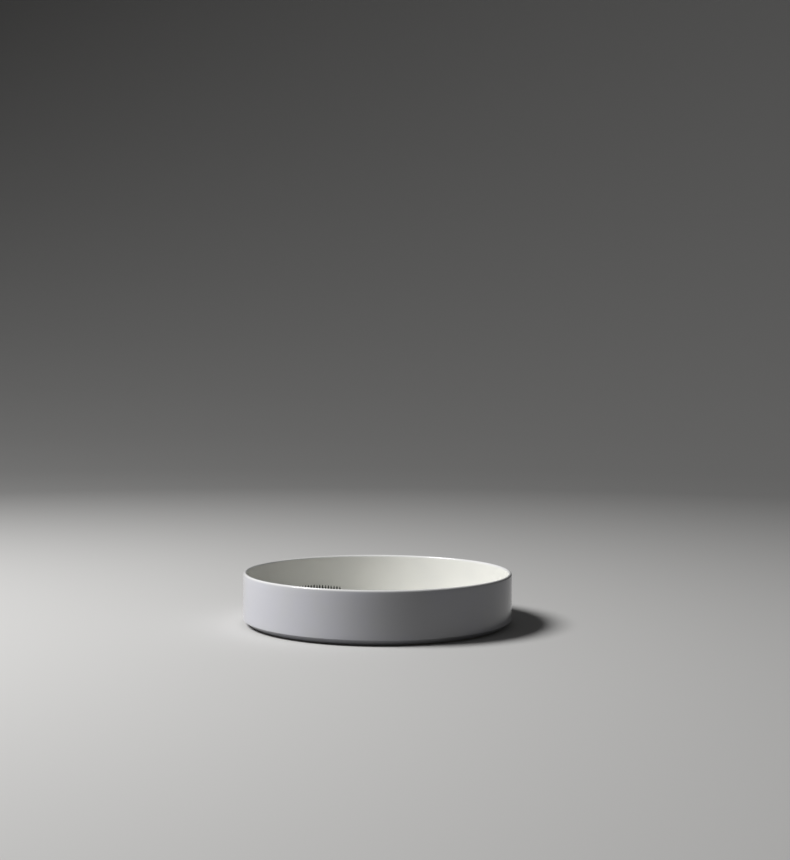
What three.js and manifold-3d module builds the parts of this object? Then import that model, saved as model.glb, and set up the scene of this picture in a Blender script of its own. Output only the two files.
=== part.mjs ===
// Ikebana vase: a wide, low glazed dish, and the kenzan that stands loose on its floor.
// The kenzan is a cast weight with a plate of upright needles on top and a rubber ring round its foot.
// Millimetres, +Z up. The origin is the centre of the dish's foot, on the surface that the dish stands on.
import * as THREE from "three";
import { mergeVertices } from "three/addons/utils/BufferGeometryUtils.js";
import Module from "manifold-3d";

const wasm = await Module();
wasm.setup();

// Dish: one straight wall on a flat floor, with a slanted underside that draws in to a low foot.
// The rim's two rounds leave a level strip between them, and shrink together on a thinner wall.
const DISH_DIAMETER = 260;
const DISH_HEIGHT = 50;
const WALL_THICKNESS = 3.4;
const RIM_OUTER_ROUND = 2;
const RIM_INNER_ROUND = 1.2;
const RIM_FLAT = 0.2;
const FLOOR_THICKNESS = 4;
const CORNER_ROUND = 8;
const BEVEL_DEPTH = 7;
const BEVEL_HEIGHT = 5.5;
const BEVEL_ROUND = 0.8;
const FOOT_WIDTH = 5;
const FOOT_ROUND = 0.9;
const FOOT_RECESS = 2;
const RECESS_SLOPE = 2.4;
const RECESS_ROUND = 2;

// Where the kenzan stands: its direction from the dish's centre, and the free floor left beside it
const KENZAN_BEARING = THREE.MathUtils.degToRad(154.5);
const KENZAN_TO_CORNER = 21.5;

// Rubber ring: an L-shaped band round the weight, with a lip under it
const RING_DIAMETER = 60;
const RING_BAND = 2;
const RING_HEIGHT = 6;
const RING_LIP_THICKNESS = 1.5;
const RING_LIP_REACH = 6;
const RING_ROUND = 0.6;

// Cast weight: a plain disc with a shallow seat on top for the needle plate
const WEIGHT_HEIGHT = 8;
const WEIGHT_EDGE = 1.2;
const WEIGHT_ROUND = 0.7;

// Needle plate and its needles, set in staggered rows that run nearly from front to back
const PLATE_THICKNESS = 1.6;
const NEEDLE_MARGIN = 1.3;
const NEEDLE_PITCH = 3.3;
const NEEDLE_ROW_TURN = THREE.MathUtils.degToRad(3.2);
const NEEDLE_DIAMETER = 1.5;
const NEEDLE_HEIGHT = 12.5;
const NEEDLE_POINT = 2;
const NEEDLE_ROOT = 0.8;

// Clearances: under a piece that stands on another, and round a piece that is pressed into another
const SEAT_GAP = 0.3;
const PRESS_GAP = 0.2;

// Fineness of the round faces
const DISH_SIDES = 88;
const KENZAN_SIDES = 48;
const NEEDLE_SIDES = 6;
const ARC_STEPS = 4;

// Sizes that follow from the ones above
const dishRadius = DISH_DIAMETER / 2;
const insideRadius = dishRadius - WALL_THICKNESS;
const rimFit = Math.min(1, (WALL_THICKNESS - RIM_FLAT) / (RIM_OUTER_ROUND + RIM_INNER_ROUND));
const floorRadius = insideRadius - CORNER_ROUND;
const floorLevel = FOOT_RECESS + FLOOR_THICKNESS;
const footRadius = dishRadius - BEVEL_DEPTH;
const ringRadius = RING_DIAMETER / 2;
const weightRadius = ringRadius - RING_BAND - PRESS_GAP;
const weightBase = RING_LIP_THICKNESS + SEAT_GAP;
const weightTop = weightBase + WEIGHT_HEIGHT;
const seatRadius = weightRadius - WEIGHT_EDGE;
const plateRadius = seatRadius - PRESS_GAP;
const plateBase = weightTop - PLATE_THICKNESS;
const needleReach = plateRadius - NEEDLE_MARGIN;
const needleRowGap = NEEDLE_PITCH * Math.sin(Math.PI / 3);

const glaze = new THREE.MeshStandardMaterial({ color: 0xf0efec, roughness: 0.18, metalness: 0 });
const castMetal = new THREE.MeshStandardMaterial({ color: 0x2e2e30, roughness: 0.5, metalness: 0.7 });
const needleMetal = new THREE.MeshStandardMaterial({ color: 0x1d1d1f, roughness: 0.38, metalness: 0.8 });
const rubber = new THREE.MeshStandardMaterial({ color: 0x151515, roughness: 0.8, metalness: 0 });

// The points of an outline through corners given as [radius, height, round]. A round makes a tangent arc.
function outline(corners) {
  const points = corners.map(([radius, height]) => new THREE.Vector2(radius, height));
  return points.flatMap((corner, i) => {
    const round = corners[i][2];
    if (!round) return [corner];
    const back = points.at(i - 1).clone().sub(corner).normalize();
    const ahead = points[(i + 1) % points.length].clone().sub(corner).normalize();
    const halfAngle = back.angleTo(ahead) / 2;
    const centre = back.clone().add(ahead).setLength(round / Math.sin(halfAngle)).add(corner);
    const start = back.clone().multiplyScalar(round / Math.tan(halfAngle)).add(corner);
    const turn = (Math.PI - 2 * halfAngle) * Math.sign(ahead.cross(back));
    return Array.from({ length: ARC_STEPS + 1 }, (_, step) =>
      start.clone().rotateAround(centre, (turn * step) / ARC_STEPS),
    );
  });
}

// A solid of revolution about +Z.
function turned(points, sides) {
  return new THREE.LatheGeometry(points, sides).rotateX(Math.PI / 2);
}

// A closed geometry as a solid that can be joined to others.
function toSolid(geometry) {
  geometry.deleteAttribute("normal");
  geometry.deleteAttribute("uv");
  const merged = mergeVertices(geometry);
  const vertProperties = merged.attributes.position.array;
  const triVerts = new Uint32Array(merged.index.array);
  return new wasm.Manifold(new wasm.Mesh({ numProp: 3, vertProperties, triVerts }));
}

// A joined solid as a geometry again.
function toGeometry(solid) {
  const { vertProperties, triVerts } = solid.getMesh();
  const geometry = new THREE.BufferGeometry();
  geometry.setAttribute("position", new THREE.BufferAttribute(vertProperties, 3));
  geometry.setIndex(new THREE.BufferAttribute(triVerts, 1));
  geometry.computeVertexNormals();
  return geometry;
}

function named(name, geometry, material) {
  const mesh = new THREE.Mesh(geometry, material);
  mesh.name = name;
  return mesh;
}

// The dish, from the middle of its underside round the foot, wall and rim to the middle of its floor.
function dish() {
  const corners = [
    [0, FOOT_RECESS],
    [footRadius - FOOT_WIDTH - RECESS_SLOPE, FOOT_RECESS, RECESS_ROUND],
    [footRadius - FOOT_WIDTH, 0, FOOT_ROUND],
    [footRadius, 0, FOOT_ROUND],
    [dishRadius, BEVEL_HEIGHT, BEVEL_ROUND],
    [dishRadius, DISH_HEIGHT, RIM_OUTER_ROUND * rimFit],
    [insideRadius, DISH_HEIGHT, RIM_INNER_ROUND * rimFit],
    [insideRadius, floorLevel, CORNER_ROUND],
    [0, floorLevel],
  ];
  return named("dish", turned(outline(corners), DISH_SIDES), glaze);
}

// The rubber ring's section closes on itself: band outside, lip under the weight.
function rubberRing() {
  const bandInside = ringRadius - RING_BAND;
  const lipInside = bandInside - RING_LIP_REACH;
  const section = outline([
    [lipInside, 0],
    [ringRadius, 0, RING_ROUND],
    [ringRadius, RING_HEIGHT, RING_ROUND],
    [bandInside, RING_HEIGHT],
    [bandInside, RING_LIP_THICKNESS],
    [lipInside, RING_LIP_THICKNESS],
  ]);
  return named("rubber_ring", turned([...section, section[0]], KENZAN_SIDES), rubber);
}

// The cast weight stands on the ring's lip, and its top is cut down for the needle plate.
function kenzanWeight() {
  const seatLevel = plateBase - SEAT_GAP;
  const corners = [
    [0, weightBase],
    [weightRadius, weightBase, WEIGHT_ROUND],
    [weightRadius, weightTop, WEIGHT_ROUND],
    [seatRadius, weightTop],
    [seatRadius, seatLevel],
    [0, seatLevel],
  ];
  return named("kenzan_weight", turned(outline(corners), KENZAN_SIDES), castMetal);
}

// The middles of the needles. Every second row is set half a pitch along, and each ends at the margin.
function needlePlaces() {
  const centre = new THREE.Vector2(0, 0);
  const places = [];
  const rows = Math.floor(needleReach / needleRowGap);
  for (let row = -rows; row <= rows; row++) {
    const across = row * needleRowGap;
    const half = Math.sqrt(needleReach ** 2 - across ** 2);
    const shift = Math.abs(row % 2) * (NEEDLE_PITCH / 2);
    const first = Math.ceil((-half - shift) / NEEDLE_PITCH);
    const last = Math.floor((half - shift) / NEEDLE_PITCH);
    for (let i = first; i <= last; i++) {
      const place = new THREE.Vector2(across, i * NEEDLE_PITCH + shift);
      places.push(place.rotateAround(centre, NEEDLE_ROW_TURN));
    }
  }
  return places;
}

// One needle, rooted in the plate: a straight shank and a slim cone.
function needle() {
  const shankRadius = NEEDLE_DIAMETER / 2;
  const rootLevel = PLATE_THICKNESS - NEEDLE_ROOT;
  const tipLevel = PLATE_THICKNESS + NEEDLE_HEIGHT;
  const points = outline([
    [0, rootLevel],
    [shankRadius, rootLevel],
    [shankRadius, tipLevel - NEEDLE_POINT],
    [0, tipLevel],
  ]);
  return turned(points, NEEDLE_SIDES);
}

// The plate and the needles fixed in it, as one piece.
function needlePlate() {
  const disc = outline([
    [0, 0],
    [plateRadius, 0],
    [plateRadius, PLATE_THICKNESS],
    [0, PLATE_THICKNESS],
  ]);
  const solid = needlePlaces().reduce(
    (joined, place) => joined.add(toSolid(needle().translate(place.x, place.y, 0))),
    toSolid(turned(disc, KENZAN_SIDES)),
  );
  const plate = named("needle_plate", toGeometry(solid), needleMetal);
  plate.position.z = plateBase;
  return plate;
}

// The kenzan's pieces share one group, which stands on the dish's floor.
function kenzan() {
  const offset = floorRadius - KENZAN_TO_CORNER - ringRadius;
  const group = new THREE.Group();
  group.name = "kenzan";
  group.add(rubberRing(), kenzanWeight(), needlePlate());
  group.position.set(
    offset * Math.cos(KENZAN_BEARING),
    offset * Math.sin(KENZAN_BEARING),
    floorLevel + SEAT_GAP,
  );
  return group;
}

const vase = new THREE.Group();
vase.name = "ikebana_vase";
vase.add(dish(), kenzan());

export default vase;
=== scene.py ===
# Looks of the ikebana vase: a white glazed dish and the kenzan that stands loose on its floor.
# Metres, +Z up, in the solid model's frame. The dish and the kenzan's pieces are turned again here, finer.
import math
import random

import bpy
from mathutils import Matrix, Vector


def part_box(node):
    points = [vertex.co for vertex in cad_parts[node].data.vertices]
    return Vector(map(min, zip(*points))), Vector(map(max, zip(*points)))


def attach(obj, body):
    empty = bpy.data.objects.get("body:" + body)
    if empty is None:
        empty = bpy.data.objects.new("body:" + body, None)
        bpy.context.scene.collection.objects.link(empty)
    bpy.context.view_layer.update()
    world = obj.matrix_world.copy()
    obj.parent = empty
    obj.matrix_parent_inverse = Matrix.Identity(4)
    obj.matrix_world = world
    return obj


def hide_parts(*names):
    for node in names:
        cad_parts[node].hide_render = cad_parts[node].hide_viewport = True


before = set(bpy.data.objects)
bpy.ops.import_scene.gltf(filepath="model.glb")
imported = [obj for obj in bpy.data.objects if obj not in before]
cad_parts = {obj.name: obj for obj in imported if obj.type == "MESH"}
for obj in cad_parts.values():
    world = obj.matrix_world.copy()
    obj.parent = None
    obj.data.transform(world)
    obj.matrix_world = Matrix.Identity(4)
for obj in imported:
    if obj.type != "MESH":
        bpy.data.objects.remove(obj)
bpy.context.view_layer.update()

MM = 0.001

# Dish section, as in the solid model, but with a fuller rim. Its radius and height come from the frame.
WALL_THICKNESS = 3.4 * MM
RIM_ROUND = 2.2 * MM
FLOOR_LEVEL = 6 * MM
CORNER_ROUND = 8 * MM
BEVEL_DEPTH = 7 * MM
BEVEL_HEIGHT = 5.5 * MM
BEVEL_ROUND = 0.8 * MM
FOOT_WIDTH = 5 * MM
FOOT_ROUND = 0.9 * MM
FOOT_RECESS = 2 * MM
RECESS_SLOPE = 2.4 * MM
RECESS_ROUND = 2 * MM

# How far the firing has warped the dish: its roundness, and the level of its rim.
# Each warp is a sum of waves, given as how many go round, how strong they are and where they start.
OVAL_WARP = 0.3 * MM
OVAL_WAVES = ((2, 1, 0.6), (3, 0.6, 2.1))
RIM_WARP = 0.25 * MM
RIM_WAVES = ((2, 1, 2.4), (5, 0.7, 0.3))
RIM_WARP_POWER = 3
WAVE_LEVEL = 2

# Kenzan sections. The radii and levels come from the frame.
RING_BAND = 2 * MM
RING_LIP_THICKNESS = 1.5 * MM
RING_LIP_REACH = 6 * MM
RING_ROUND = 0.6 * MM
RING_EDGE_ROUND = 0.3 * MM
PARTING_BEAD = 0.18 * MM
WEIGHT_EDGE = 1.2 * MM
WEIGHT_ROUND = 0.7 * MM
SEAT_ROUND = 0.25 * MM
SEAT_GAP = 0.3 * MM
PLATE_THICKNESS = 1.6 * MM
PLATE_ROUND = 0.35 * MM

# Needles
NEEDLE_MARGIN = 1.3 * MM
NEEDLE_PITCH = 3.3 * MM
NEEDLE_ROW_TURN = math.radians(3.2)
NEEDLE_DIAMETER = 1.5 * MM
NEEDLE_POINT = 2 * MM
NEEDLE_POINT_SWELL = 1.25
NEEDLE_TIP_DIAMETER = 0.25 * MM
NEEDLE_ROOT = 0.8 * MM
NEEDLE_LEAN = math.radians(0.7)
NEEDLE_SHORTFALL = 0.2 * MM
NEEDLE_SEED = 11

# Fineness of the meshes
DISH_SIDES = 288
KENZAN_SIDES = 144
NEEDLE_SIDES = 12
STAGE_SIDES = 96
ARC_STEP = math.radians(9)
ARC_LEAST_STEPS = 3
STRAIGHT_STEP = 4 * MM
POINT_STEPS = 5
SHARP_ANGLE = math.radians(40)
ON_AXIS = 1e-9

# Flat map of the dish for baking, in 256ths of its width: two discs above four half strips of wall.
# The strips keep to whole units, so that the edges that meet at a seam are cut alike.
MAP_NAME = "OFBake"
MAP_UNIT = 1 / 256
MAP_DISC_UNIT = 1.94 * MM
UNDERSIDE_MIDDLE = Vector((66, 190))
FLOOR_MIDDLE = Vector((193.5, 190))
STRIP_START = 1
STRIP_LENGTH = 254
OUTSIDE_STRIPS = ((1, 32), (34, 65))
INSIDE_STRIPS = ((67, 94), (96, 123))

# Colours, as linear light
# Painted light: the outside's cool, darker white and the inside's warmer, brighter white stand for the
# cool light on the outer wall and the warm bounce in the basin. The inside's glaze is also a little
# thicker.
OUTSIDE_WHITE_PAINTED_COOL_LIGHT = (0.83, 0.83, 0.89, 1)
INSIDE_WHITE_PAINTED_WARM_BOUNCE = (0.9, 0.897, 0.853, 1)
POOLED_WHITE = (0.835, 0.835, 0.805, 1)
# Painted highlight along the rim, partly a real lightening where the glaze thins over the edge.
RIM_THIN_GLAZE_AND_HIGHLIGHT_WHITE = (0.9, 0.9, 0.895, 1)
BARE_CLAY = (0.66, 0.60, 0.52, 1)
TOASTED_CLAY = (0.52, 0.40, 0.28, 1)
CAST_BLACK = (0.020, 0.020, 0.021, 1)
CAST_WORN = (0.085, 0.083, 0.080, 1)
NEEDLE_BLACK = (0.012, 0.012, 0.013, 1)
NEEDLE_WORN = (0.085, 0.082, 0.078, 1)
PLATE_BLACK = (0.035, 0.034, 0.034, 1)
PLATE_STAINED = (0.075, 0.068, 0.058, 1)
RUBBER_BLACK = (0.010, 0.010, 0.011, 1)
RUBBER_BLOOM = (0.024, 0.024, 0.025, 1)
STAGE_GREY = (0.62, 0.615, 0.605, 1)
STAGE_BOUNCE = (0.17, 0.17, 0.17, 1)
WORLD_WHITE = (1, 1, 1, 1)

# In the finishes below, a size is that of a pattern's features, a depth is that of its relief, a share is
# how much of a colour shows at most, and a window is the stretch of a pattern over which it fades in.
WHOLE = (0, 1)

# Glaze
FLOOR_FADE = 0.4 * MM
DRIFT_SIZE = 45 * MM
DRIFT_WINDOW = (0.35, 0.65)
DRIFT_SHARE = 0.35
POOL_HEIGHT = 1 * MM
POOL_SHARE = 0.5
GLOSS_SIZE = 9 * MM
GLOSS_WINDOW = (0.3, 0.7)
GLAZE_ROUGHNESS = (0.09, 0.16)
GLAZE_IOR = 1.5
RIPPLE_SIZE = 22 * MM
RIPPLE_DEPTH = 0.07 * MM
TURNING_SIZE = 2.2 * MM
TURNING_DEPTH = 0.006 * MM
PEEL_SIZE = 1.3 * MM
PEEL_DEPTH = 0.006 * MM

# Bare clay of the foot: how ragged the glaze's edge is, and the heights between which the glaze thins out
# and the clay is toasted
RAGGED_SIZE = 4 * MM
RAGGED_REACH = 0.5 * MM
BARE_WINDOW = (0.55 * MM, 0.3 * MM)
TOASTED_WINDOW = (0.05 * MM, 0.45 * MM)
CLAY_GRAIN_SIZE = 0.5 * MM
CLAY_GRAIN_DEPTH = 0.08 * MM
CLAY_ROUGHNESS = 0.8

# Blackened casting of the weight
CAST_GRAIN_SIZE = 0.9 * MM
CAST_GRAIN_DEPTH = 0.05 * MM
CAST_GRAIN_WINDOW = (0.3, 0.7)
CAST_ROUGHNESS = (0.42, 0.62)
CAST_METALLIC = 0.6
PIT_SIZE = 1.6 * MM
PIT_WINDOW = (0, 0.22)
PIT_DEPTH = 0.03 * MM
BLOTCH_SIZE = 11 * MM
BLOTCH_WINDOW = (0.42, 0.68)
BLOTCH_SHARE = 0.22
EDGE_WEAR_REACH = 1.4 * MM
EDGE_WEAR_WINDOW = (0.35, 0.6)

# Blackened steel of the needles
SCUFF_SIZE = 0.7 * MM
SCUFF_DEPTH = 0.01 * MM
SCUFF_WINDOW = (0.3, 0.7)
NEEDLE_ROUGHNESS = (0.26, 0.42)
NEEDLE_METALLIC = 0.9
POINT_WEAR_WINDOW = (0.25, 0.6)
POINT_WEAR_POWER = 2
FADED_SHARE = 0.12

# Dull black of the plate
STAIN_SIZE = 7 * MM
STAIN_WINDOW = (0.45, 0.7)
PLATE_ROUGHNESS = (0.38, 0.62)
PLATE_METALLIC = 0.7
PLATE_MARK_SIZE = 0.5 * MM
PLATE_MARK_DEPTH = 0.015 * MM

# Rubber of the ring
BLOOM_SIZE = 8 * MM
BLOOM_WINDOW = (0.4, 0.72)
RUBBER_ROUGHNESS = (0.58, 0.8)
PEBBLE_SIZE = 0.35 * MM
PEBBLE_DEPTH = 0.02 * MM

# Camera: where it stands, how far it looks down, how far it is tipped sideways, and its lens on a 36 mm
# sensor along the picture's long side
CAMERA_PLACE = Vector((16 * MM, -1339.5 * MM, 228.4 * MM))
CAMERA_PITCH = math.radians(1.786)
CAMERA_ROLL = math.radians(0.31)
CAMERA_LENS = 58
CAMERA_SENSOR = 36

# Stage: a flat floor with a wall that rises from it all round
STAGE_RADIUS = 1.8
STAGE_ROUND = 2
STAGE_HEIGHT = 3.4
STAGE_DROP = 0.1 * MM
STAGE_ROUGHNESS = 0.9

# Lights
KEY_TURN = math.radians(-80)
KEY_ELEVATION = math.radians(51)
KEY_DISTANCE = 1.9
KEY_SIZE = 0.8
KEY_POWER = 37.5
FILL_TURN = math.radians(55)
FILL_ELEVATION = math.radians(28)
FILL_DISTANCE = 2.1
FILL_SIZE = 1.6
FILL_POWER = 0.3
WORLD_STRENGTH = 0.06

# Sizes and places that come from the frame
dish_low, dish_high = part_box("dish")
ring_low, ring_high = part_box("rubber_ring")
weight_low, weight_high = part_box("kenzan_weight")
plate_low, plate_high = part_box("needle_plate")
DISH_RADIUS = (dish_high.x - dish_low.x) / 2
DISH_HEIGHT = dish_high.z
INSIDE_RADIUS = DISH_RADIUS - WALL_THICKNESS
RIM_RADIUS = DISH_RADIUS - WALL_THICKNESS / 2
KENZAN_CENTRE = Vector(((ring_low.x + ring_high.x) / 2, (ring_low.y + ring_high.y) / 2, 0))
RING_RADIUS = (ring_high.x - ring_low.x) / 2
WEIGHT_RADIUS = (weight_high.x - weight_low.x) / 2
PLATE_RADIUS = (plate_high.x - plate_low.x) / 2
PLATE_TOP = plate_low.z + PLATE_THICKNESS
NEEDLE_REACH = PLATE_RADIUS - NEEDLE_MARGIN
NEEDLE_ROW_GAP = NEEDLE_PITCH * math.sin(math.pi / 3)


def arc_points(before, corner, after, round_radius):
    """Points of the tangent arc that rounds a corner of an outline."""
    back = (before - corner).normalized()
    ahead = (after - corner).normalized()
    half_angle = back.angle(ahead) / 2
    centre = corner + (back + ahead).normalized() * round_radius / math.sin(half_angle)
    start = corner + back * round_radius / math.tan(half_angle) - centre
    turn = math.pi - 2 * half_angle
    if back.x * ahead.y - back.y * ahead.x > 0:
        turn = -turn
    steps = max(ARC_LEAST_STEPS, math.ceil(abs(turn) / ARC_STEP))
    return [centre + Matrix.Rotation(turn * i / steps, 2) @ start for i in range(steps + 1)]


def outline(corners):
    """The points of an outline through corners given as (radius, height) or (radius, height, round)."""
    places = [Vector(corner[:2]) for corner in corners]
    points = []
    for i, (place, corner) in enumerate(zip(places, corners)):
        rounding = corner[2:]
        if rounding:
            points += arc_points(places[i - 1], place, places[(i + 1) % len(places)], *rounding)
        else:
            points.append(place)
    return points


def divided(points):
    """The same outline with further points along its long straight stretches."""
    result = [points[0]]
    for start, end in zip(points, points[1:]):
        count = max(1, round((end - start).length / STRAIGHT_STEP))
        result += [start.lerp(end, i / count) for i in range(1, count + 1)]
    return result


def unwarped(angle, radius, height):
    """A point of a turned solid that is exactly round."""
    return radius, height


def ring_of_vertices(vertices, point, sides, warp):
    """Adds one turn of an outline's point, or a single vertex on the axis, and returns the indices."""
    first = len(vertices)
    if point.x < ON_AXIS:
        vertices.append((0, 0, warp(0, 0, point.y)[1]))
        return [first] * sides
    for j in range(sides):
        angle = 2 * math.pi * j / sides
        radius, height = warp(angle, point.x, point.y)
        vertices.append((radius * math.cos(angle), radius * math.sin(angle), height))
    return list(range(first, first + sides))


def band_faces(lower, upper):
    """The faces between two turns, with triangles where a turn is one vertex."""
    faces = []
    for j in range(len(lower)):
        k = (j + 1) % len(lower)
        face = dict.fromkeys((lower[j], lower[k], upper[k], upper[j]))
        if len(face) > 2:
            faces.append(tuple(face))
    return faces


def turned(points, sides, closes=False, warp=unwarped):
    """Vertices and faces of a turned solid about +Z."""
    vertices = []
    turns = [ring_of_vertices(vertices, point, sides, warp) for point in points]
    if closes:
        turns.append(turns[0])
    faces = [face for lower, upper in zip(turns, turns[1:]) for face in band_faces(lower, upper)]
    return vertices, faces


def new_object(name, vertices, faces, material):
    """A smooth mesh object in the scene."""
    mesh = bpy.data.meshes.new(name)
    mesh.from_pydata(vertices, [], faces)
    mesh.shade_smooth()
    mesh.set_sharp_from_angle(angle=SHARP_ANGLE)
    mesh.materials.append(material)
    made = bpy.data.objects.new(name, mesh)
    bpy.context.scene.collection.objects.link(made)
    return made


def write_attribute(made, name, values):
    """Stores one number for each vertex, for a finish to read."""
    made.data.attributes.new(name, "FLOAT", "POINT").data.foreach_set("value", values)


def stand_for(made, node, body, place):
    """Puts a piece in its place, where it stands for a node of the solid model and rides on its body."""
    made.location = place
    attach(made, body)
    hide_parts(node)


class Shader:
    """A material's node tree, with short calls for the nodes that the finishes share."""

    def __init__(self, name):
        self.material = bpy.data.materials.new(name)
        self.material.use_nodes = True
        self.tree = self.material.node_tree
        self.surface = self.tree.nodes["Principled BSDF"]
        self.place = self.node("ShaderNodeTexCoord").outputs["Object"]

    def node(self, kind, **settings):
        """A new node with these settings."""
        made = self.tree.nodes.new(kind)
        for name, value in settings.items():
            setattr(made, name, value)
        return made

    def put(self, target, value):
        """Links a socket, or sets a plain value."""
        if isinstance(value, bpy.types.NodeSocket):
            self.tree.links.new(value, target)
        else:
            target.default_value = value

    def set(self, **inputs):
        """Sets the surface's own sockets: Base_Color stands for Base Color."""
        for name, value in inputs.items():
            self.put(self.surface.inputs[name.replace("_", " ")], value)

    def noise(self, size, detail=3, roughness=0.5, place=None):
        """Noise whose features are about this size, from 0 to 1."""
        made = self.node("ShaderNodeTexNoise")
        self.put(made.inputs["Vector"], place or self.place)
        self.put(made.inputs["Scale"], 1 / size)
        self.put(made.inputs["Detail"], detail)
        self.put(made.inputs["Roughness"], roughness)
        return made.outputs["Fac"]

    def cells(self, size):
        """Distance from the middles of scattered cells of this size."""
        made = self.node("ShaderNodeTexVoronoi")
        self.put(made.inputs["Vector"], self.place)
        self.put(made.inputs["Scale"], 1 / size)
        return made.outputs["Distance"]

    def ramp(self, value, window, to=WHOLE):
        """A value's stretch over a window, eased, as a stretch from one value to another."""
        made = self.node("ShaderNodeMapRange", interpolation_type="SMOOTHSTEP")
        names = ("Value", "From Min", "From Max", "To Min", "To Max")
        for name, given in zip(names, (value, *window, *to)):
            self.put(made.inputs[name], given)
        return made.outputs["Result"]

    def math(self, operation, first, second):
        """The result of an operation on two values."""
        made = self.node("ShaderNodeMath", operation=operation)
        self.put(made.inputs[0], first)
        self.put(made.inputs[1], second)
        return made.outputs["Value"]

    def blend(self, share, first, second):
        """A colour between two others."""
        made = self.node("ShaderNodeMix", data_type="RGBA")
        self.put(made.inputs["Factor"], share)
        self.put(made.inputs["A"], first)
        self.put(made.inputs["B"], second)
        return made.outputs["Result"]

    def bump(self, height, depth, under=None):
        """A relief of this depth, on top of another."""
        made = self.node("ShaderNodeBump")
        self.put(made.inputs["Height"], height)
        self.put(made.inputs["Distance"], depth)
        if under:
            self.put(made.inputs["Normal"], under)
        return made.outputs["Normal"]

    def attribute(self, name):
        """A number that is stored for each vertex."""
        return self.node("ShaderNodeAttribute", attribute_name=name).outputs["Fac"]

    def radius_and_height(self):
        """Distance from the object's own upright axis, and height."""
        axes = self.node("ShaderNodeSeparateXYZ")
        self.put(axes.inputs["Vector"], self.place)
        across = self.math("MULTIPLY", axes.outputs["X"], axes.outputs["X"])
        along = self.math("MULTIPLY", axes.outputs["Y"], axes.outputs["Y"])
        squared = self.math("ADD", across, along)
        return self.math("POWER", squared, 0.5), axes.outputs["Z"]

    def turning_place(self, radius, height):
        """A place that is the same all the way round, for marks that a turning tool leaves."""
        made = self.node("ShaderNodeCombineXYZ")
        self.put(made.inputs["X"], radius)
        self.put(made.inputs["Z"], height)
        return made.outputs["Vector"]


def glaze_colour(shader, radius, height):
    """The glaze's colour. Its cool tint outside and its warmer, brighter white inside are painted light:
    they stand for the cool light on the outer wall and the warm bounce in the basin, and partly for a
    thicker glaze inside. There are slow drifts, pooling in the corner, and a painted highlight over the
    rim, where the glaze also thins.
    """
    past_rim = shader.ramp(radius, (DISH_RADIUS, INSIDE_RADIUS))
    over_floor = shader.ramp(height, (FLOOR_LEVEL - FLOOR_FADE, FLOOR_LEVEL))
    inside = shader.math("MULTIPLY", past_rim, over_floor)
    # Painted light: the outside is cooler, and the inside is warmer and brighter, for how the light falls
    # and bounces.
    white = shader.blend(inside, OUTSIDE_WHITE_PAINTED_COOL_LIGHT, INSIDE_WHITE_PAINTED_WARM_BOUNCE)
    drift = shader.ramp(shader.noise(DRIFT_SIZE, detail=2), DRIFT_WINDOW)
    toned = shader.blend(shader.math("MULTIPLY", drift, DRIFT_SHARE), white, POOLED_WHITE)
    corner = shader.ramp(radius, (INSIDE_RADIUS - 2 * CORNER_ROUND, INSIDE_RADIUS - CORNER_ROUND / 2))
    low = shader.ramp(height, (FLOOR_LEVEL + CORNER_ROUND, FLOOR_LEVEL + POOL_HEIGHT))
    pool = shader.math("MULTIPLY", shader.math("MULTIPLY", corner, low), inside)
    pooled = shader.blend(shader.math("MULTIPLY", pool, POOL_SHARE), toned, POOLED_WHITE)
    # Painted highlight over the rim, partly the glaze thinning there.
    rim_thin_glaze_and_highlight = shader.ramp(height, (DISH_HEIGHT - RIM_ROUND, DISH_HEIGHT - RIM_ROUND / 2))
    return shader.blend(rim_thin_glaze_and_highlight, pooled, RIM_THIN_GLAZE_AND_HIGHLIGHT_WHITE)


def glaze_relief(shader, radius, height):
    """A skin that is never quite flat: slow ripples, faint turning marks and a fine peel."""
    ripple = shader.bump(shader.noise(RIPPLE_SIZE, detail=1), RIPPLE_DEPTH)
    turning = shader.noise(TURNING_SIZE, detail=1, place=shader.turning_place(radius, height))
    turning_marks = shader.bump(turning, TURNING_DEPTH, ripple)
    return shader.bump(shader.noise(PEEL_SIZE, detail=1), PEEL_DEPTH, turning_marks)


def glaze_finish():
    """White glaze, ending in a ragged, toasted line at the bare clay of the foot."""
    shader = Shader("white_glaze")
    radius, height = shader.radius_and_height()
    ragged = shader.math("MULTIPLY", shader.noise(RAGGED_SIZE, detail=4), RAGGED_REACH)
    glaze_line = shader.math("SUBTRACT", height, ragged)
    bare = shader.ramp(glaze_line, BARE_WINDOW)
    clay = shader.blend(shader.ramp(glaze_line, TOASTED_WINDOW), BARE_CLAY, TOASTED_CLAY)
    shader.set(Base_Color=shader.blend(bare, glaze_colour(shader, radius, height), clay))
    gloss = shader.ramp(shader.noise(GLOSS_SIZE, detail=4), GLOSS_WINDOW, GLAZE_ROUGHNESS)
    shader.set(Roughness=shader.ramp(bare, WHOLE, (gloss, CLAY_ROUGHNESS)), IOR=GLAZE_IOR)
    grains = shader.noise(CLAY_GRAIN_SIZE, detail=5, roughness=0.7)
    grit = shader.math("MULTIPLY", grains, bare)
    shader.set(Normal=shader.bump(grit, CLAY_GRAIN_DEPTH, glaze_relief(shader, radius, height)))
    return shader.material


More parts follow.
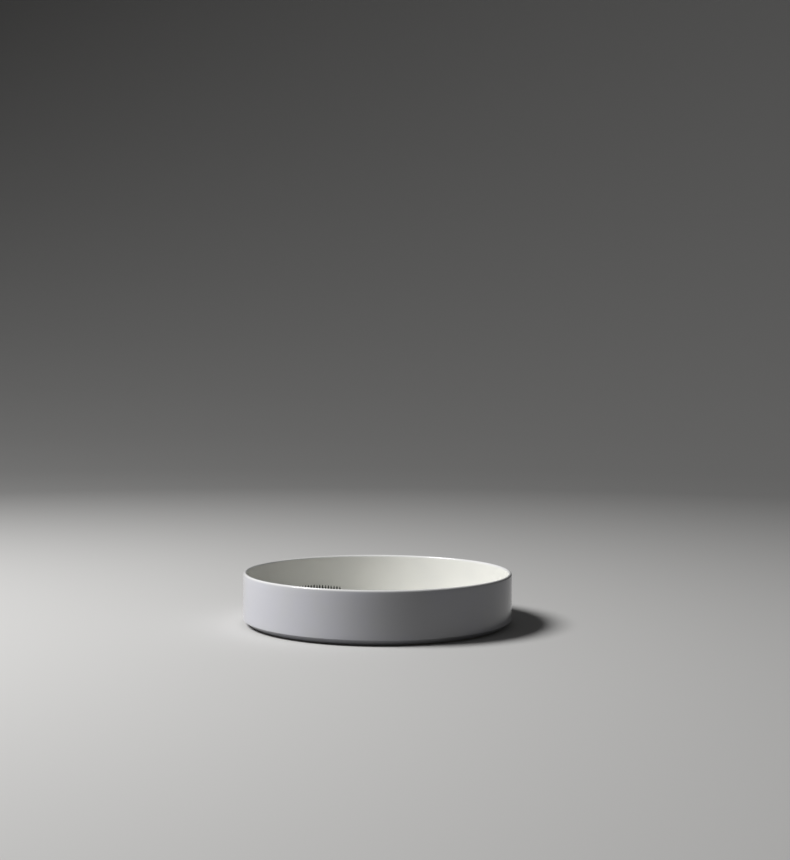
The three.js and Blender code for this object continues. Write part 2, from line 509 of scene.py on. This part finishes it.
def cast_finish():
    """Blackened casting, with open grain and worn edges."""
    shader = Shader("blackened_casting")
    grain = shader.noise(CAST_GRAIN_SIZE, detail=6, roughness=0.65)
    pits = shader.ramp(shader.cells(PIT_SIZE), PIT_WINDOW)
    blotches = shader.ramp(shader.noise(BLOTCH_SIZE, detail=5), BLOTCH_WINDOW)
    worn = shader.math("MULTIPLY", shader.attribute("edge"), shader.ramp(grain, EDGE_WEAR_WINDOW))
    wear = shader.math("MAXIMUM", worn, shader.math("MULTIPLY", blotches, BLOTCH_SHARE))
    shader.set(Base_Color=shader.blend(wear, CAST_BLACK, CAST_WORN), Metallic=CAST_METALLIC)
    shader.set(Roughness=shader.ramp(grain, CAST_GRAIN_WINDOW, CAST_ROUGHNESS))
    shader.set(Normal=shader.bump(pits, PIT_DEPTH, shader.bump(grain, CAST_GRAIN_DEPTH)))
    return shader.material


def needle_finish():
    """Blackened steel, rubbed to bare metal at the points, no two needles quite alike."""
    shader = Shader("blackened_needles")
    scuffs = shader.noise(SCUFF_SIZE, detail=4, roughness=0.6)
    rubbed = shader.math("MULTIPLY", shader.attribute("point"), shader.ramp(scuffs, POINT_WEAR_WINDOW))
    faded = shader.math("MULTIPLY", shader.attribute("tone"), FADED_SHARE)
    wear = shader.math("MAXIMUM", rubbed, faded)
    shader.set(Base_Color=shader.blend(wear, NEEDLE_BLACK, NEEDLE_WORN), Metallic=NEEDLE_METALLIC)
    shader.set(Roughness=shader.ramp(scuffs, SCUFF_WINDOW, NEEDLE_ROUGHNESS))
    shader.set(Normal=shader.bump(scuffs, SCUFF_DEPTH))
    return shader.material


def plate_finish():
    """The dull black plate between the needles, with turning marks and dried stains."""
    shader = Shader("stained_plate")
    stains = shader.ramp(shader.noise(STAIN_SIZE, detail=6, roughness=0.6), STAIN_WINDOW)
    radius, height = shader.radius_and_height()
    marks = shader.noise(PLATE_MARK_SIZE, detail=2, place=shader.turning_place(radius, height))
    shader.set(Base_Color=shader.blend(stains, PLATE_BLACK, PLATE_STAINED), Metallic=PLATE_METALLIC)
    shader.set(Roughness=shader.ramp(stains, WHOLE, PLATE_ROUGHNESS))
    shader.set(Normal=shader.bump(marks, PLATE_MARK_DEPTH))
    return shader.material


def rubber_finish():
    """Moulded rubber: matt, finely pebbled, with a grey bloom in patches."""
    shader = Shader("moulded_rubber")
    bloom = shader.ramp(shader.noise(BLOOM_SIZE, detail=5), BLOOM_WINDOW)
    pebbles = shader.noise(PEBBLE_SIZE, detail=3)
    shader.set(Base_Color=shader.blend(bloom, RUBBER_BLACK, RUBBER_BLOOM))
    shader.set(Roughness=shader.ramp(bloom, WHOLE, RUBBER_ROUGHNESS))
    shader.set(Normal=shader.bump(pebbles, PEBBLE_DEPTH))
    return shader.material


def wave(angle, parts):
    """How much of a warp shows at an angle, from the waves that it is made of."""
    height = sum(strength * math.cos(count * angle + start) for count, strength, start in parts)
    highest = sum(strength for count, strength, start in parts)
    return (WAVE_LEVEL + height) / (WAVE_LEVEL + highest)


def fired(angle, radius, height):
    """The dish's warp from firing: a little oval, with a rim that isn't quite level."""
    rise = height / DISH_HEIGHT
    inward = OVAL_WARP * wave(angle, OVAL_WAVES) * rise / DISH_RADIUS
    drop = RIM_WARP * wave(angle, RIM_WAVES) * rise ** RIM_WARP_POWER
    return radius * (1 - inward), height - drop


def nearest(points, spot):
    """The index of an outline's point that is nearest to a spot."""
    return min(range(len(points)), key=lambda i: (points[i] - spot).length)


def lengths_along(points):
    """How far along an outline each of its points is."""
    lengths = [0]
    for start, end in zip(points, points[1:]):
        lengths.append(lengths[-1] + (end - start).length)
    return lengths


def on_disc(middle, distance, turn):
    """A place on a disc of the flat map, this far along the surface from its middle."""
    return middle + Vector((math.cos(turn), math.sin(turn))) * distance / MAP_DISC_UNIT


def on_strip(strips, half, share, turn):
    """A place on one of a wall's two half strips, from its share of the way across and its turn."""
    low, high = strips[half]
    along = STRIP_START + (turn / math.pi - half) * STRIP_LENGTH
    return Vector((along, low + (high - low) * share))


def map_dish(mesh, points):
    """Lays the dish's surface out flat, with seams at the foot's edge, the rim and the floor's edge."""
    along = lengths_along(points)
    foot = nearest(points, Vector((DISH_RADIUS - BEVEL_DEPTH, 0)))
    rim = nearest(points, Vector((RIM_RADIUS, DISH_HEIGHT)))
    floor = nearest(points, Vector((INSIDE_RADIUS - CORNER_ROUND, FLOOR_LEVEL)))

    def share(point, start, end):
        """How much of the way from one point of the outline to another this point is."""
        return (along[point] - along[start]) / (along[end] - along[start])

    def flat_place(band, half, point, turn):
        """Where a face of this band and half has this point of the outline at this turn."""
        if band < foot:
            return on_disc(UNDERSIDE_MIDDLE, along[point], -turn)
        if band < rim:
            return on_strip(OUTSIDE_STRIPS, half, share(point, foot, rim), turn)
        if band < floor:
            return on_strip(INSIDE_STRIPS, half, share(point, rim, floor), turn)
        return on_disc(FLOOR_MIDDLE, along[-1] - along[point], turn)

    places = []
    for face in mesh.polygons:
        band, side = divmod(face.index, DISH_SIDES)
        half = side * 2 // DISH_SIDES
        for vertex in face.vertices:
            # The first vertex is on the axis, and each further turn has one for every side
            point, step = divmod(vertex + DISH_SIDES - 1, DISH_SIDES)
            turn = 2 * math.pi * (side if step == side else side + 1) / DISH_SIDES
            places.extend(flat_place(band, half, point, turn) * MAP_UNIT)
    mesh.uv_layers.new(name=MAP_NAME).uv.foreach_set("vector", places)


def rim_section():
    """The rim's corners: half an ellipse, from the outside of the wall over to its inside."""
    steps = math.ceil(math.pi / ARC_STEP)
    turns = [math.pi * i / steps for i in range(steps + 1)]
    half_wall = WALL_THICKNESS / 2
    base = DISH_HEIGHT - RIM_ROUND
    return [(RIM_RADIUS + half_wall * math.cos(turn), base + RIM_ROUND * math.sin(turn)) for turn in turns]


def make_dish():
    """The dish, from the middle of its underside round foot, wall and rim to the middle of its floor."""
    foot_outside = DISH_RADIUS - BEVEL_DEPTH
    foot_inside = foot_outside - FOOT_WIDTH
    corners = [
        (0, FOOT_RECESS),
        (foot_inside - RECESS_SLOPE, FOOT_RECESS, RECESS_ROUND),
        (foot_inside, 0, FOOT_ROUND),
        (foot_outside, 0, FOOT_ROUND),
        (DISH_RADIUS, BEVEL_HEIGHT, BEVEL_ROUND),
        *rim_section(),
        (INSIDE_RADIUS, FLOOR_LEVEL, CORNER_ROUND),
        (0, FLOOR_LEVEL),
    ]
    points = divided(outline(corners))
    vertices, faces = turned(points, DISH_SIDES, warp=fired)
    made = new_object("glazed_dish", vertices, faces, glaze_finish())
    map_dish(made.data, points)
    stand_for(made, "dish", "dish", Vector((0, 0, 0)))


def make_ring():
    """The rubber ring: a band with a lip under the weight, and the bead that its mould leaves round it."""
    band_inside = RING_RADIUS - RING_BAND
    lip_inside = band_inside - RING_LIP_REACH
    base = ring_low.z
    top = ring_high.z
    lip_top = base + RING_LIP_THICKNESS
    bead = (base + top) / 2
    section = outline([
        (lip_inside, base, RING_EDGE_ROUND),
        (RING_RADIUS, base, RING_ROUND),
        (RING_RADIUS, bead - PARTING_BEAD),
        (RING_RADIUS + PARTING_BEAD / 2, bead),
        (RING_RADIUS, bead + PARTING_BEAD),
        (RING_RADIUS, top, RING_ROUND),
        (band_inside, top, RING_EDGE_ROUND),
        (band_inside, lip_top),
        (lip_inside, lip_top, RING_EDGE_ROUND),
    ])
    vertices, faces = turned(section, KENZAN_SIDES, closes=True)
    made = new_object("kenzan_ring", vertices, faces, rubber_finish())
    stand_for(made, "rubber_ring", "kenzan", KENZAN_CENTRE)


def make_weight():
    """The cast weight, with the shallow seat that takes the needle plate."""
    base = weight_low.z
    top = weight_high.z
    seat_radius = WEIGHT_RADIUS - WEIGHT_EDGE
    seat_level = plate_low.z - SEAT_GAP
    section = divided(outline([
        (0, base),
        (WEIGHT_RADIUS, base, WEIGHT_ROUND),
        (WEIGHT_RADIUS, top, WEIGHT_ROUND),
        (seat_radius, top, SEAT_ROUND),
        (seat_radius, seat_level),
        (0, seat_level),
    ]))
    vertices, faces = turned(section, KENZAN_SIDES)
    made = new_object("cast_weight", vertices, faces, cast_finish())
    edge = Vector((WEIGHT_RADIUS - WEIGHT_ROUND / 2, top - WEIGHT_ROUND / 2))
    from_edge = [(Vector((math.hypot(x, y), z)) - edge).length for x, y, z in vertices]
    write_attribute(made, "edge", [max(0, 1 - distance / EDGE_WEAR_REACH) for distance in from_edge])
    stand_for(made, "kenzan_weight", "kenzan", KENZAN_CENTRE)


def make_plate():
    """The disc that the needles stand in."""
    section = divided(outline([
        (0, plate_low.z),
        (PLATE_RADIUS, plate_low.z, PLATE_ROUND),
        (PLATE_RADIUS, PLATE_TOP, PLATE_ROUND),
        (0, PLATE_TOP),
    ]))
    vertices, faces = turned(section, KENZAN_SIDES)
    made = new_object("plate_disc", vertices, faces, plate_finish())
    stand_for(made, "needle_plate", "kenzan", KENZAN_CENTRE)


def needle_places():
    """The needles' middles. Every second row is set half a pitch along, and each ends at the margin."""
    turn = Matrix.Rotation(NEEDLE_ROW_TURN, 3, "Z")
    places = []
    rows = int(NEEDLE_REACH / NEEDLE_ROW_GAP)
    for row in range(-rows, rows + 1):
        across = row * NEEDLE_ROW_GAP
        half = math.sqrt(NEEDLE_REACH ** 2 - across ** 2)
        shift = row % 2 * NEEDLE_PITCH / 2
        first = math.ceil((-half - shift) / NEEDLE_PITCH)
        last = math.floor((half - shift) / NEEDLE_PITCH)
        places += [turn @ Vector((across, i * NEEDLE_PITCH + shift, 0)) for i in range(first, last + 1)]
    return places


def needle_section(height):
    """A shank that narrows to its point in a slim, slightly swelling curve."""
    shank = NEEDLE_DIAMETER / 2
    tip = NEEDLE_TIP_DIAMETER / 2
    points = [Vector((0, -NEEDLE_ROOT)), Vector((shank, -NEEDLE_ROOT)), Vector((shank, 0))]
    for i in range(POINT_STEPS + 1):
        along = i / POINT_STEPS
        narrowing = 1 - along ** NEEDLE_POINT_SWELL
        points.append(Vector((tip + (shank - tip) * narrowing, height - NEEDLE_POINT * (1 - along))))
    points.append(Vector((0, height)))
    return points


def point_wear(z, height):
    """How rubbed a needle of this height is at a level: from nothing below its point to 1 at its tip."""
    return max(0, (z - height) / NEEDLE_POINT + 1) ** POINT_WEAR_POWER


def make_needles():
    """All the needles, each with its own small lean, length and tone."""
    draw = random.Random(NEEDLE_SEED)
    full_height = plate_high.z - PLATE_TOP
    vertices, faces, points, tones = [], [], [], []
    for place in needle_places():
        height = full_height - NEEDLE_SHORTFALL * draw.random()
        lean = Matrix.Rotation(NEEDLE_LEAN * draw.random(), 4, "X")
        turn = Matrix.Rotation(2 * math.pi * draw.random(), 4, "Z")
        tone = draw.random()
        own_vertices, own_faces = turned(needle_section(height), NEEDLE_SIDES)
        first = len(vertices)
        vertices += [place + turn @ lean @ Vector(vertex) for vertex in own_vertices]
        faces += [tuple(index + first for index in face) for face in own_faces]
        points += [point_wear(z, height) for x, y, z in own_vertices]
        tones += [tone] * len(own_vertices)
    made = new_object("needles", vertices, faces, needle_finish())
    write_attribute(made, "point", points)
    write_attribute(made, "tone", tones)
    stand_for(made, "needle_plate", "kenzan", KENZAN_CENTRE + Vector((0, 0, PLATE_TOP)))


def make_stage():
    """A pale floor that sweeps up into a wall all round, and throws little light back on the dish."""
    wall = STAGE_RADIUS + STAGE_ROUND
    section = outline([(0, -STAGE_DROP), (wall, -STAGE_DROP, STAGE_ROUND), (wall, STAGE_HEIGHT)])
    vertices, faces = turned(section, STAGE_SIDES)
    shader = Shader("stage_grey")
    path = shader.node("ShaderNodeLightPath").outputs
    mirrored = shader.math("MAXIMUM", path["Is Glossy Ray"], path["Is Transmission Ray"])
    seen = shader.math("MAXIMUM", path["Is Camera Ray"], mirrored)
    shader.set(Base_Color=shader.blend(seen, STAGE_BOUNCE, STAGE_GREY), Roughness=STAGE_ROUGHNESS)
    new_object("stage", vertices, [face[::-1] for face in faces], shader.material)


def add_light(name, turn, elevation, distance, size, power):
    """A round soft light. Turn is about the dish's axis, from the camera's side towards the right."""
    level = math.cos(elevation)
    towards = Vector((math.sin(turn) * level, -math.cos(turn) * level, math.sin(elevation)))
    light = bpy.data.lights.new(name, "AREA")
    light.shape = "DISK"
    light.size = size
    light.energy = power
    made = bpy.data.objects.new(name, light)
    made.location = towards * distance
    made.rotation_mode = "QUATERNION"
    made.rotation_quaternion = (-towards).to_track_quat("-Z", "Y")
    made.visible_camera = False
    bpy.context.scene.collection.objects.link(made)


def make_lights():
    """One soft light from the left, a weak one from the right, and a faint even one from all round."""
    add_light("key", KEY_TURN, KEY_ELEVATION, KEY_DISTANCE, KEY_SIZE, KEY_POWER)
    add_light("fill", FILL_TURN, FILL_ELEVATION, FILL_DISTANCE, FILL_SIZE, FILL_POWER)
    world = bpy.data.worlds.new("studio")
    world.use_nodes = True
    background = world.node_tree.nodes["Background"]
    background.inputs["Color"].default_value = WORLD_WHITE
    background.inputs["Strength"].default_value = WORLD_STRENGTH
    bpy.context.scene.world = world


def make_camera():
    """The camera, at the photograph's viewing angle."""
    data = bpy.data.cameras.new("camera")
    data.lens = CAMERA_LENS
    data.sensor_width = CAMERA_SENSOR
    camera = bpy.data.objects.new("camera", data)
    level = Matrix.Rotation(math.pi / 2 - CAMERA_PITCH, 4, "X")
    camera.matrix_world = Matrix.Translation(CAMERA_PLACE) @ level @ Matrix.Rotation(CAMERA_ROLL, 4, "Z")
    bpy.context.scene.collection.objects.link(camera)
    bpy.context.scene.camera = camera


make_dish()
make_ring()
make_weight()
make_plate()
make_needles()
make_stage()
make_lights()
make_camera()
bpy.context.scene.view_settings.view_transform = "Standard"
